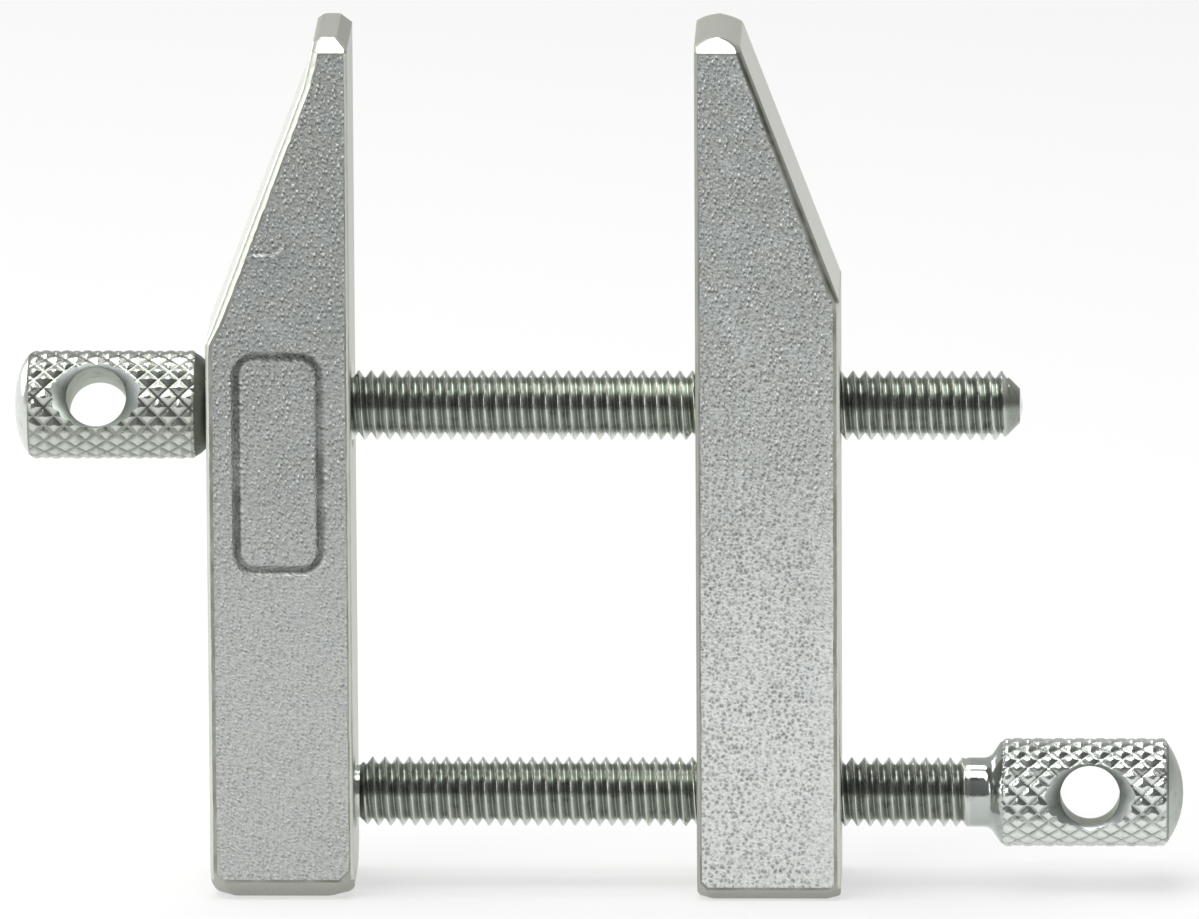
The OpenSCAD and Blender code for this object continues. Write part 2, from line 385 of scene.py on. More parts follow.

# %% [markdown]
# ## Ground zinc
# The gripping faces, the outer faces, the tapers and the bevels were ground before plating. They
# are smoother and a little warmer than the cast skin, with faint streaks along the jaw. Streaks are
# noise squeezed across the jaw and drawn out along it. The tapers are the brightest, the straight
# sides that face right are duller with painted shade, and the bevels at the heel are the dullest.


# %% Ground zinc
def ground_zinc(name, tone, gloss):
    """Ground and plated metal, where a lower gloss value is shinier."""
    finish, shader, place = new_finish(name)
    streaks = place.stretched(9, 9, 0.35).noise(1.0, 3.0, 0.6)
    cloud = place.noise(0.4, 2.0)
    pale, deep, cool = [
        (tone * r, tone * g, tone * b, 1)
        for r, g, b in ((0.98, 1, 0.9), (0.83, 0.86, 0.77), (0.87, 0.91, 0.86))
    ]
    colour = streaks.rise(0.3, 0.7).tint(deep, pale)
    colour = (cloud.rise(0.45, 0.7) * 0.4).tint(colour, cool)
    feed(
        shader,
        base_color=colour,
        roughness=gloss + streaks * 0.14,
        normal=(streaks + place.noise(3.0, 2.0) * 0.5).bumped(0.006),
    )
    return finish


flank = ground_zinc("jaw_ground_zinc", 0.74, 0.26)
heel_bevel_finish = ground_zinc("jaw_heel_zinc", 0.54, 0.55)
# A duller copy of the ground zinc: painted shade for the straight sides that face right
shaded_flank = ground_zinc("jaw_painted_shade_ground_zinc", 0.56, 0.30)
print("ground finishes:", flank.name, heel_bevel_finish.name, shaded_flank.name)

# %% [markdown]
# Where the skin meets a ground side, a bevel or a tip facet, a fine dark line is painted as shade.
# It is a finish of its own on a narrow strip of faces.


# %% Edge of the skin
def skin_edge(name):
    """Painted shade: dull zinc, darker in some stretches than in others."""
    finish, shader, place = new_finish(name)
    broken = place.noise(0.6, 4.0).rise(0.3, 0.7)
    feed(
        shader,
        base_color=broken.tint((0.26, 0.26, 0.22, 1), (0.46, 0.47, 0.43, 1)),
        roughness=0.38 + broken * 0.1,
    )
    return finish


border = skin_edge("jaw_skin_edge")
print("edge of the skin:", border.name)

# %% [markdown]
# ## Bright zinc on the screws
# The screws were turned from bar, knurled, threaded and plated bright. The finish is shiny on the
# high spots. In the grooves it is duller, darker and greener as painted shade, with some dust. The
# depth of a point is its distance from the screw's axis, which the finish can measure because each
# screw piece has its own origin on that axis.


# %% Bright zinc
def bright_zinc(name, groove_radius, crest_radius, light, dark, gloss, texture_mm=0.004):
    """Plated steel that darkens from its crests to its grooves, as painted shade."""
    finish, shader, place = new_finish(name)
    across = place.stretched(0, 1, 1)
    depth = place.node("VectorMath", {"operation": "LENGTH"}, {0: across}, "Value")
    crest = depth.rise(groove_radius, crest_radius)
    grime = place.noise(1.6, 3.0, 0.6)
    # Painted shade: darker towards the grooves, and dust patches add to it there
    colour = crest.tint(dark, light)
    colour = (grime.rise(0.5, 0.75) * (1 - crest * 0.7) * 0.7).tint(colour, (0.12, 0.125, 0.11, 1))
    fine = place.noise(14.0, 2.0)
    feed(
        shader,
        base_color=colour,
        roughness=gloss + (1 - crest) * 0.12 + grime * 0.08,
        normal=(fine + grime).bumped(texture_mm),
    )
    print("screw finish:", name)
    return finish


thread_finish = bright_zinc(
    "thread_bright_zinc", 1.55, 1.95, (0.60, 0.62, 0.58, 1), (0.31, 0.34, 0.30, 1), 0.13
)
# The front knurl is a darker, shaded copy and the rear knurl a lighter, lit copy of the same zinc: painted
# shade and painted light
front_knurl = bright_zinc(
    "front_knurl_zinc", 2.79, 3.03, (0.56, 0.59, 0.54, 1), (0.12, 0.135, 0.115, 1), 0.16, 0.011
)
rear_knurl = bright_zinc(
    "rear_knurl_zinc", 2.77, 3.02, (0.76, 0.80, 0.76, 1), (0.20, 0.22, 0.20, 1), 0.16, 0.014
)
turned_finish = bright_zinc(
    "turned_bright_zinc", 0.2, 0.8, (0.68, 0.71, 0.68, 1), (0.66, 0.69, 0.66, 1), 0.14
)
# A very dark copy for the front screw's seat cone: painted shade in the narrow gap
shaded_finish = bright_zinc(
    "seat_painted_shade_zinc", 1.9, 3.0, (0.15, 0.16, 0.14, 1), (0.07, 0.075, 0.065, 1), 0.34
)
# A darker copy for the rear screw's dome: painted shade on the side away from the light
shaded_dome_finish = bright_zinc(
    "dome_painted_shade_zinc", 0.5, 2.9, (0.46, 0.50, 0.455, 1), (0.36, 0.39, 0.35, 1), 0.30
)
cove_finish = bright_zinc(
    "neck_bright_zinc", 0.2, 0.8, (0.50, 0.54, 0.52, 1), (0.50, 0.54, 0.52, 1), 0.05
)
bore_finish = bright_zinc(
    "bore_dull_zinc", 0.5, 2.9, (0.41, 0.46, 0.39, 1), (0.48, 0.52, 0.44, 1), 0.42
)
sink_finish = bright_zinc(
    "sink_pale_zinc", 2.2, 2.9, (0.80, 0.85, 0.84, 1), (0.42, 0.46, 0.43, 1), 0.30
)

# %% [markdown]
# ## The jaws as slices
# A jaw is a square bar whose nose tapers on the outer side. Cut level with the heel, every slice is
# a rectangle with broken edges, so the whole jaw follows from three things at each height: where its
# inner and outer sides are, and how deep it is. The bevels at heel and tip are slices that shrink.
# The frame gives the outer sizes, and the rest are the jaw's own dimensions.

# %% Sizes of the jaws, in millimetres
nose_lean = math.tan(math.radians(20.8))
upright_edge = 0.2
tip_bevel = 0.75
# Extra slices that follow the rounded corners of the heel
heel_rows = [0.02, 0.05, 0.1, 0.16, 0.22]
tapped_low, tapped_high = box_mm("tapped_jaw")
jaw_len = plain_high[2] - plain_low[2]
jaw_w = plain_high[0] - plain_low[0]
half_d = (plain_high[1] - plain_low[1]) / 2
print("jaw:", round(jaw_len, 3), "long,", round(jaw_w, 3), "wide,", round(2 * half_d, 3), "deep")

# %% [markdown]
# The two tips were ground by hand and differ. The plain jaw's tip is a narrow ridge with flat
# bevels, blunted by a steeper facet, and the tapped jaw's is a rounded crown. A tip is a short
# outline of points, each with its distance from the gripping face and its drop below the top, and
# its last point lies on the taper. The corners at the heel are rounded as parts of an ellipse.


# %% Outline of a jaw at each height
def crown_points(width, drop, steps):
    """A rounded tip: an arc from the gripping face over the top to the taper."""
    ball = (width * width / 4 + drop * drop) / (2 * drop)
    half_angle = math.asin(width / 2 / ball)
    angles = np.linspace(-half_angle, half_angle, 2 * steps + 1)
    return [(width / 2 + ball * math.sin(a), ball * (1 - math.cos(a))) for a in angles]


def heel_round(z, width, height):
    """How far a rounded corner at the heel cuts in, at the heights z."""
    share = 1 - np.clip(z / height, 0, 1)
    return width * (1 - np.sqrt(1 - share**2))


def jaw_sides(z, tip_w, tip_outline, inner_heel, outer_heel):
    """Inner and outer side of the jaw at the heights z, as distances from the gripping face."""
    drop = jaw_len - z
    peak = min(range(len(tip_outline)), key=lambda i: tip_outline[i][1])
    rising = tip_outline[: peak + 1][::-1]
    falling = tip_outline[peak:]
    inner = np.interp(drop, [p[1] for p in rising], [p[0] for p in rising])
    inner = np.maximum(inner, heel_round(z, *inner_heel))
    tip = np.interp(drop, [p[1] for p in falling], [p[0] for p in falling])
    nose = np.where(drop > falling[-1][1], tip_w + drop * nose_lean, tip)
    return inner, np.minimum(nose, jaw_w - heel_round(z, *outer_heel))


def jaw_depth(z, heel_bevel):
    """Half the depth of the jaw at the heights z."""
    return np.minimum(half_d, np.minimum(half_d - heel_bevel + z, half_d - tip_bevel + jaw_len - z))


def jaw_heights(step, corners):
    """Heights of the slices: evenly spaced, and exactly at each corner of the outline."""
    even = np.arange(0, jaw_len, step)
    clear = [z for z in even if min(abs(z - c) for c in corners) > step * 0.4]
    return np.array(sorted(clear + list(corners)))


# %% [markdown]
# ## The skin of the casting
# Sand and die castings keep the grain of their mould: hundreds of pimples a few tenths of a
# millimetre apart, strongest near the noses here and almost smooth near the heels. A lattice of
# bumps, each pushed off its place by a seeded random step, gives an even but irregular cover. A
# shader could fake this, but real bumps catch the light at their own edges and are in the mesh.

# %% Relief of the cast faces
bump_rise, bump_spacing = 0.030, 0.42
wave_rise, wave_spacing = 0.004, 1.9
skin_sink = 0.016


def pimples(x, z, spacing, seed):
    """Round bumps of random size, on a lattice with random steps."""
    rng = np.random.default_rng(seed)
    column = np.floor(x / spacing).astype(int)
    row = np.floor(z / spacing).astype(int)
    first_column, first_row = column.min() - 1, row.min() - 1
    table = rng.random((column.max() - first_column + 2, row.max() - first_row + 2, 4))
    total = np.zeros_like(x)
    for side in (-1, 0, 1):
        for up in (-1, 0, 1):
            cell = table[column + side - first_column, row + up - first_row]
            off_x = x - (column + side + cell[..., 0]) * spacing
            off_z = z - (row + up + cell[..., 1]) * spacing
            size = spacing * (0.16 + 0.14 * cell[..., 2])
            total += cell[..., 3] ** 1.5 * np.exp(-(off_x**2 + off_z**2) / (2 * size**2))
    return total


def cast_relief(x, z, seed, rough_low, rough_high, smooth_share):
    """Height of the cast skin in millimetres, rougher above rough_high than below rough_low."""
    rough = smooth_share + (1 - smooth_share) * smooth_step(z, rough_low, rough_high)
    bumps = bump_rise * pimples(x, z, bump_spacing, seed)
    waves = wave_rise * (pimples(x, z, wave_spacing, seed + 3) - 0.6)
    return rough * bumps + waves - skin_sink


# %% [markdown]
# The panel is part of the same relief. Its frame is a groove, and its field lies a little below the
# skin. Both follow the distance from a point to the frame's line, as its painted shade does.

# %% Blank panel
panel_sink, field_share = 0.20, 0.3


def panel_relief(across, z):
    """Groove of the panel's frame, where across is the distance from the jaw's middle line."""
    side = np.abs(across) - panel_w / 2 + panel_corner
    up = np.abs(z - panel_z) - panel_h / 2 + panel_corner
    outside = np.hypot(np.maximum(side, 0), np.maximum(up, 0))
    distance = outside + np.minimum(np.maximum(side, up), 0) - panel_corner
    groove = 1 - smooth_step(np.abs(distance), panel_line * 0.3, panel_line * 0.8)
    field = smooth_step(-distance, 0, panel_line)
    return -panel_sink * np.maximum(groove, field_share * field)


# %% [markdown]
# A short raised line crosses the plain jaw's nose, where two streams of metal met in the mould.

# %% Flow line
flow_points = [(5.65, 37.5), (4.0, 37.55), (3.68, 37.95)]
flow_width, flow_rise = 0.075, 0.16


def flow_line(across, z):
    """Height of a thin ridge along the flow line's two stretches."""
    nearest = np.full(across.shape, np.inf)
    for (a0, z0), (a1, z1) in zip(flow_points, flow_points[1:]):
        run = (across - a0) * (a1 - a0) + (z - z0) * (z1 - z0)
        share = np.clip(run / ((a1 - a0) ** 2 + (z1 - z0) ** 2), 0, 1)
        nearest = np.minimum(nearest, np.hypot(across - a0 - share * (a1 - a0), z - z0 - share * (z1 - z0)))
    return flow_rise * np.exp(-(nearest**2) / (2 * flow_width**2))


# %% [markdown]
# ## Building a jaw
# Each slice has four flat sides and four broken edges. The two cast sides get many points for the
# relief, and the ground sides get few. The relief fades out towards the edges, where grinding took
# the skin away. One long ring of points per slice is easier to keep closed than separate plates.

# %% Slices of a jaw
face_points = 76
side_shares = np.array([0, 0.03, 0.12, 0.3, 0.5, 0.7, 0.88, 0.97, 1])
edge_shares = np.array([0.25, 0.5, 0.75])
edge_bulge = 0.10


def broken_edge(start, end, size):
    """Points across a bevelled edge that is rounded a little outwards, between two corners."""
    share = edge_shares[None, :, None]
    line = start[:, None] * (1 - share) + end[:, None] * share
    along = end - start
    out = np.stack([along[:, 1], -along[:, 0]], -1)
    out = out / np.maximum(np.linalg.norm(out, axis=1), 1e-9)[:, None]
    swell = np.sin(np.pi * edge_shares)[None, :, None] * size[:, None, None] * edge_bulge
    return line + out[:, None] * swell


def flat_side(start, end, shares):
    """Points along a flat side, between two corners."""
    share = shares[None, :, None]
    return start[:, None] * (1 - share) + end[:, None] * share


def jaw_slices(z, inner, outer, depth, inner_edge, outer_edge):
    """Points (across, depth) of every slice, and how many belong to each stretch of it."""

    def corner(across, out):
        return np.stack([across, out], -1)

    face_shares = np.linspace(0, 1, face_points)
    front_in = corner(inner + inner_edge, -depth)
    front_out = corner(outer - outer_edge, -depth)
    outer_front = corner(outer, outer_edge - depth)
    outer_back = corner(outer, depth - outer_edge)
    back_out = corner(outer - outer_edge, depth)
    back_in = corner(inner + inner_edge, depth)
    inner_back = corner(inner, depth - inner_edge)
    inner_front = corner(inner, inner_edge - depth)
    stretches = [
        flat_side(front_in, front_out, face_shares),
        broken_edge(front_out, outer_front, outer_edge),
        flat_side(outer_front, outer_back, side_shares),
        broken_edge(outer_back, back_out, outer_edge),
        flat_side(back_out, back_in, face_shares),
        broken_edge(back_in, inner_back, inner_edge),
        flat_side(inner_back, inner_front, side_shares),
        broken_edge(inner_front, front_in, inner_edge),
    ]
    return np.concatenate(stretches, 1), [s.shape[1] for s in stretches]


def ragged(z, seed):
    """A factor round 1 that wanders along an edge, because no edge was broken quite evenly."""
    here = np.zeros_like(z)
    return 0.86 + 0.16 * pimples(here, z, 1.1, seed) + 0.12 * pimples(here, z, 0.45, seed + 1)


# %% [markdown]
# Every face then needs its finish. A mesh holds a list of finishes, and each face the number of
# one. Row by row and column by column, these helpers tell the skin and its dark edge from the
# ground sides and the bevels.

# %% Finishes of a jaw's faces
on_skin, on_flank, on_edge, on_heel, on_shaded_side = range(5)
row_step = 0.1
border_rise = 0.13
hair = 1e-6


def skin_columns(starts):
    """Columns of the front and back skin, and of the dark strips along their sides."""
    cast = np.zeros(starts[-1], bool)
    cast[starts[0] : starts[1] - 1] = True
    cast[starts[4] : starts[5] - 1] = True
    strip = np.zeros(starts[-1], bool)
    strip[[starts[0], starts[1] - 3, starts[1] - 2]] = True
    strip[[starts[4], starts[4] + 1, starts[5] - 2]] = True
    return cast, strip


def ground_finishes(z, starts, heel_bevel, nose_start, outward, painted_shade_edges):
    """Finish numbers of all faces, as if the whole jaw were ground."""
    level = np.where(z[1:] < heel_bevel + hair, on_heel, on_flank)
    numbers = level[:, None] + np.zeros((1, starts[-1]), int)
    # The straight sides that face right get the duller copy, as painted shade
    facing_right = 2 if outward > 0 else 6
    stretch = slice(starts[facing_right], starts[facing_right + 1] - 1)
    straight = (z[:-1] < nose_start) | (outward < 0)
    numbers[:, stretch] = np.where(straight[:, None], on_shaded_side, numbers[:, stretch])
    # Painted shade: the nose's outer edges and the inner edges get the darker heel finish, with a darker
    # strip
    if painted_shade_edges:
        on_nose = (z[:-1] > nose_start)[:, None]
        for part, shade_strip in ((1, slice(starts[1] - 1, starts[1] + 1)), (3, slice(starts[4] - 2, starts[4]))):
            stretch = slice(starts[part] - 1, starts[part + 1])
            numbers[:, stretch] = np.where(on_nose, on_heel, numbers[:, stretch])
            numbers[:, shade_strip] = np.where(on_nose, on_edge, numbers[:, shade_strip])
        for part in (5, 7):
            numbers[:, starts[part] - 1 : starts[part + 1]] = on_heel
    return numbers


def jaw_finishes(z, starts, clear, ground, heel_bevel):
    """Finish numbers of all faces: skin where it was left, its dark edge, and ground metal."""
    column, strip = skin_columns(starts)
    row = (z[:-1] > heel_bevel - hair) & (z[1:] < jaw_len - tip_bevel + hair)
    strip_row = (z[:-1] < heel_bevel + border_rise) | (z[1:] > jaw_len - tip_bevel - border_rise)
    # Painted shade: a dark strip along the sides and ends of the skin
    dark = strip[None, :] | strip_row[:, None] | (clear[:-1] < border_rise)
    cast = row[:, None] & column[None, :]
    uncut = clear[:-1] + row_step / 2 > 0
    skin = np.where(dark, on_edge, on_skin)
    return np.where(cast & uncut, skin, np.where(cast, on_heel, ground)).ravel().tolist()


# %% [markdown]
# With slices, relief and finishes at hand, a jaw is put together in one go. At the heel a small
# facet also cuts each corner of the skin. It is made by pressing the points there back to a slope.

# %% Build a jaw
edge_fade = 0.3
edge_room = 0.3
heel_zone = 3
facet_share = 0.98
outer_seed, inner_seed = 61, 71


def build_jaw(name, face_x, outward, tip, nose_edge, heel, skin, relief_of, fine_rows, painted_shade_edges):
    """One jaw: outward is the sign of X from its gripping face to its outer face."""
    tip_w, tip_outline = tip
    heel_bevel, heel_cut, inner_heel, outer_heel = heel
    nose_start = jaw_len - (jaw_w - tip_w) / nose_lean
    corners = [0, heel_bevel, nose_start, jaw_len - tip_bevel] + heel_rows + list(fine_rows)
    corners += [jaw_len - drop for _, drop in tip_outline]
    z = jaw_heights(row_step, sorted(set(np.round(corners, 4))))
    inner, outer = jaw_sides(z, tip_w, tip_outline, inner_heel, outer_heel)
    depth = jaw_depth(z, heel_bevel)
    room = (outer - inner) * edge_room
    outer_edge = upright_edge + (nose_edge - upright_edge) * smooth_step(z, nose_start - 1, nose_start + 2)
    outer_edge = np.minimum(outer_edge * ragged(z, outer_seed), room)
    inner_edge = np.minimum(upright_edge * ragged(z, inner_seed), room)
    slices, counts = jaw_slices(z, inner, outer, depth, inner_edge, outer_edge)
    across, out = slices[..., 0], slices[..., 1].copy()
    x = face_x + outward * across
    height = np.broadcast_to(z[:, None], x.shape)

    starts = np.concatenate([[0], np.cumsum(counts)])
    share = np.linspace(0, 1, face_points)
    inset = np.minimum(share, 1 - share)[None, :] * (outer - inner)[:, None]
    level = np.minimum(z - heel_bevel, jaw_len - tip_bevel - z)[:, None]
    fade = smooth_step(inset, 0, edge_fade) * smooth_step(level, 0, edge_fade)
    for part, facing in ((0, -1), (4, 1)):
        span = slice(starts[part], starts[part + 1])
        out[:, span] += facing * fade * relief_of(across[:, span], x[:, span], height[:, span], facing)

    inset = np.minimum(across - inner[:, None], outer[:, None] - across)
    clear = inset + height - heel_bevel - heel_cut
    limit = half_d + np.minimum(clear, 0)
    over = np.maximum(np.abs(out) - limit, 0) * (height < heel_zone)
    out -= np.sign(out) * over * facet_share

    points = np.stack([x, out, height], -1)
    ring_size = points.shape[1]
    last_ring = (len(z) - 1) * ring_size
    faces = loft_faces(len(z), ring_size)
    faces += [list(range(ring_size))[::-1], list(range(last_ring, last_ring + ring_size))]
    if outward < 0:
        faces = [face[::-1] for face in faces]
    ground = ground_finishes(z, starts, heel_bevel, nose_start, outward, painted_shade_edges)
    finish_of_face = jaw_finishes(z, starts, clear, ground, heel_bevel) + [on_flank] * 2
    finishes = [skin, flank, border, heel_bevel_finish, shaded_flank]
    piece = new_piece(name, points.reshape(-1, 3), faces, finishes, finish_of_face)
    print(name, len(z), "slices of", ring_size, "points")
    return piece


# %% [markdown]
# ## Holes across the jaws
# The plain jaw has a clear hole with a conical seat for the front screw's head, and a blind socket
# for the rear screw's pilot. The tapped jaw has two holes with countersunk mouths. Each cutter is a
# turned shape: a list of radii along the screw's axis, spun round it.

# %% Cutters for the holes
cutter_sides = 72


def turned_cutter(name, axis_z, profile, finish_of_stretch):
    """A closed round cutter along X, from (x, radius) pairs in millimetres and a finish between pairs."""
    angles = np.linspace(0, 2 * math.pi, cutter_sides, endpoint=False)
    x = np.array([p[0] for p in profile])[:, None] + 0 * angles
    radius = np.array([p[1] for p in profile])[:, None]
    points = np.stack([x, radius * np.cos(angles), axis_z + radius * np.sin(angles)], -1)
    faces = loft_faces(len(profile), cutter_sides)
    last = (len(profile) - 1) * cutter_sides
    faces += [list(range(cutter_sides))[::-1], list(range(last, last + cutter_sides))]
    faces = [face[::-1] for face in faces] if profile[0][0] > profile[-1][0] else faces
    finish_of_face = np.repeat(finish_of_stretch, cutter_sides).tolist() + [finish_of_stretch[0]] * 2
    return new_piece(name, points.reshape(-1, 3), faces, [], finish_of_face)


axis_z = {name: (box_mm(name)[0][2] + box_mm(name)[1][2]) / 2 for name in ("front_screw", "rear_screw")}
head_r = (box_mm("front_screw")[1][1] - box_mm("front_screw")[0][1]) / 2
thread_r = 1.975
clear_r = thread_r + 0.15
tapped_r = thread_r + 0.06
seat_r = thread_r + 0.39
socket_r, socket_depth, socket_point = 1.58, 3.8, 0.9
mouth = 0.3
reach = 1.0
jaw_corner = 40
print("screw axes at", {k: round(v, 3) for k, v in axis_z.items()}, "head radius", round(head_r, 3))

# %% [markdown]
# Now the two jaws themselves. The plain jaw is roughest at its nose and nearly smooth at its heel.
# The tapped jaw is rough further down. Each rides on its own body of the frame, and stands in for
# the plain solid there.

# %% Plain jaw
plain_seed = 11
plain_tip_w, blunt_len = 1.45, 2.8
blunt_end = plain_tip_w + blunt_len * nose_lean
plain_tip = [(0, 0.6), (0.6, 0), (1.6, 0), (1.91, 0.25), (blunt_end, blunt_len)]
plain_bevel, plain_cut = 1.05, 0.8
plain_rounds = (0.7, 0.6), (0.65, 1.25)
flow_rows = np.arange(37.3, 38.2, 0.03)


def plain_relief(across, x, z, facing):
    """Skin on both sides, with the panel and the flow line on the front."""
    skin = cast_relief(x, z, plain_seed + facing, 17, 34, 0.60)
    if facing > 0:
        return skin
    return skin + panel_relief(across - jaw_w / 2, z) + flow_line(across, z)


plain_jaw = build_jaw(
    "plain_jaw_casting",
    face_x=plain_high[0],
    outward=-1,
    tip=(plain_tip_w, plain_tip),
    nose_edge=0.46,
    heel=(plain_bevel, plain_cut, *plain_rounds),
    skin=plain_skin,
    relief_of=plain_relief,
    fine_rows=flow_rows,
    painted_shade_edges=False,
)
seat = turned_cutter(
    "seat_cutter",
    axis_z["front_screw"],
    [
        (plain_low[0] - reach, seat_r + reach),
        (plain_low[0] + seat_r - clear_r, clear_r),
        (plain_high[0] - mouth, clear_r),
        (plain_high[0] + reach, clear_r + mouth + reach),
    ],
    [on_flank] * 3,
)
carve(plain_jaw, seat)
socket = turned_cutter(
    "socket_cutter",
    axis_z["rear_screw"],
    [
        (plain_high[0] - socket_depth - socket_point, 0.05),
        (plain_high[0] - socket_depth, socket_r),
        (plain_high[0] - (clear_r - socket_r), socket_r),
        (plain_high[0] + reach, clear_r + reach),
    ],
    [on_flank] * 3,
)
carve(plain_jaw, socket)
soften(plain_jaw, jaw_corner)
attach(plain_jaw, "plain_jaw")
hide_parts("plain_jaw")
print("plain jaw:", len(plain_jaw.data.polygons), "faces")

# %% Tapped jaw
tapped_seed = 41
tapped_tip_w, tip_crown, crown_steps = 2.4, 0.5, 8
tapped_tip = crown_points(tapped_tip_w + tip_crown * nose_lean, tip_crown, crown_steps)
tapped_bevel, tapped_cut = 0.65, 0.55
tapped_rounds = (0.4, 0.45), (0.25, 0.3)


def tapped_relief(across, x, z, facing):
    """Skin alone, on both sides."""
    return cast_relief(x, z, tapped_seed + facing, 12, 30, 0.5)


tapped_jaw = build_jaw(
    "tapped_jaw_casting",
    face_x=tapped_low[0],
    outward=1,
    tip=(tapped_tip_w, tapped_tip),
    nose_edge=0.36,
    heel=(tapped_bevel, tapped_cut, *tapped_rounds),
    skin=tapped_skin,
    relief_of=tapped_relief,
    fine_rows=[],
    painted_shade_edges=True,
)
for name, height in axis_z.items():
    hole = turned_cutter(
        name + "_hole_cutter",
        height,
        [
            (tapped_low[0] - reach, tapped_r + mouth + reach),
            (tapped_low[0] + mouth, tapped_r),
            (tapped_high[0] - mouth, tapped_r),
            (tapped_high[0] + reach, tapped_r + mouth + reach),
        ],
        [on_flank] * 3,
    )
    carve(tapped_jaw, hole)
soften(tapped_jaw, jaw_corner)
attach(tapped_jaw, "tapped_jaw")
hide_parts("tapped_jaw")
print("tapped jaw:", len(tapped_jaw.data.polygons), "faces")

# %% [markdown]
# ## Knurled heads
# A diamond knurl is rolled by two hardened wheels whose teeth lean left and right. Each wheel leaves
# a set of slanting grooves, and diamonds stand between the two sets. So the height at any point is
# the lower of two slanting saw-teeth. The crown was turned afterwards and cuts the diamonds off,
# which is the lower of the knurl's radius and the crown's.

# %% Sizes of the screws, in millimetres
diamonds = 17
points_per_diamond = 16
knurl_lean = math.radians(44)
knurl_depth = 0.20
head_len = 10.25
knurl_rows = 0.075
crown_zone, crown_rings = 1.5, 24
smooth_crown = 0.75
head_bevel, bevel_start = 0.2, 0.06
print("knurl:", diamonds, "diamonds round a head", round(2 * head_r, 3), "thick")


def knurl_radius(angle, x, flank_share):
    """Radius of the knurl: two sets of grooves, whose flanks leave flat diamonds below a share of 1."""
    turn = angle * diamonds / (2 * math.pi)
    pitch = 2 * math.pi * head_r / diamonds
    lean = x / (pitch / math.tan(knurl_lean))
    right = np.abs(2 * ((turn + lean) % 1) - 1)
    left = np.abs(2 * ((turn - lean) % 1) - 1)
    height = np.minimum(np.minimum(right, left) / flank_share, 1)
    return head_r - knurl_depth * (1 - 0.75 * height - 0.25 * np.sin(height * math.pi / 2))


def elliptic_crown(rise):
    """Radius of a rounded crown at a distance from its apex."""
    return lambda s: head_r * np.sqrt(np.maximum(1 - (1 - np.minimum(s / rise, 1)) ** 2, 0))


def domed_crown(rise):
    """Radius of a shallow dome, an arc of a ball, at a distance from its apex."""
    ball = (head_r**2 + rise**2) / (2 * rise)
    return lambda s: np.where(s < rise, np.sqrt(np.maximum(2 * ball * s - s**2, 0)), head_r + s - rise)


# %% [markdown]
# ## Threads
# A screw thread is one groove wound round the shank. Drawn on a plain grid it would look like a
# staircase, so each column of points here is shifted along the axis by its share of the pitch: the
# crests, flanks and roots then run exactly along the grid's lines. Where the shifted columns come
# to the end of the thread they are clamped to one ring, and the doubled points there are merged.

# %% Thread sizes, in millimetres
thread_pitch = 0.7
root_r = 1.55
thread_columns = 68
# Shares of one pitch from crest to crest, with the depth of the groove there
thread_form = [(0.0, 0.0), (0.05, 0.03), (0.10, 0.13), (0.25, 0.50), (0.40, 0.88), (0.46, 0.98)]
thread_form += [(0.54, 0.98), (0.60, 0.88), (0.75, 0.50), (0.90, 0.13), (0.95, 0.03)]


def thread_points(start, end, envelope, run_out):
    """Grid of (column, sample) points along the thread, and how many samples make a pitch."""
    turns = np.arange(math.floor(start / thread_pitch) - 2, math.ceil(end / thread_pitch) + 2)
    shares = np.array([share for share, _ in thread_form])
    depths = np.array([depth for _, depth in thread_form])
    columns = np.arange(thread_columns)
    x = thread_pitch * (turns[:, None] + shares[None, :]).ravel()[None, :]
    x = x + thread_pitch * columns[:, None] / thread_columns
    depth = np.tile(depths, len(turns))[None, :] * (thread_r - root_r)
    x = np.clip(x, start, end)
    radius = np.minimum(thread_r - depth * run_out(x), envelope(x))
    angle = 2 * math.pi * columns[:, None] / thread_columns + 0 * x
    return np.stack([x, radius * np.cos(angle), radius * np.sin(angle)], -1), len(shares)


def thread_faces(samples, per_pitch):
    """Quads of the thread: the last column meets the first one a pitch further on."""
    faces = []
    for column in range(thread_columns):
        here = column * samples
        there = (column + 1) % thread_columns * samples
        shift = per_pitch if column == thread_columns - 1 else 0
        for s in range(samples - 1 - shift):
            faces.append([here + s, here + s + 1, there + s + shift + 1, there + s + shift])
    return faces


# %% [markdown]
# ## Joining head and shank
# The head needs four times as many columns as the shank. Between them, each ring has half as many
# points as the one before, and triangles fill the corners, so a screw stays one closed skin.


# %% Rings of a screw
def merge_doubles(piece):
    """Merges points that fell together, drops faces that vanish, and turns all faces outwards."""
    work = bmesh.new()
    work.from_mesh(piece.data)
    bmesh.ops.remove_doubles(work, verts=work.verts, dist=1e-7)
    bmesh.ops.dissolve_degenerate(work, edges=work.edges, dist=1e-8)
    bmesh.ops.recalc_face_normals(work, faces=work.faces)
    open_edges = sum(1 for edge in work.edges if not edge.is_manifold)
    work.to_mesh(piece.data)
    work.free()
    print(piece.name, "open edges:", open_edges)


def round_ring(x, radius, count):
    """Points of a circle round the screw's axis."""
    angles = np.linspace(0, 2 * math.pi, count, endpoint=False)
    return np.stack([x + 0 * angles, radius * np.cos(angles), radius * np.sin(angles)], -1)


def halving_faces(first, second, count):
    """Faces from a ring of count points to a ring of half as many."""
    faces = []
    for j in range(count // 2):
        a, b, c = first + 2 * j, first + 2 * j + 1, first + (2 * j + 2) % count
        p, q = second + j, second + (j + 1) % (count // 2)
        faces += [[a, p, b], [b, p, q, c]]
    return faces


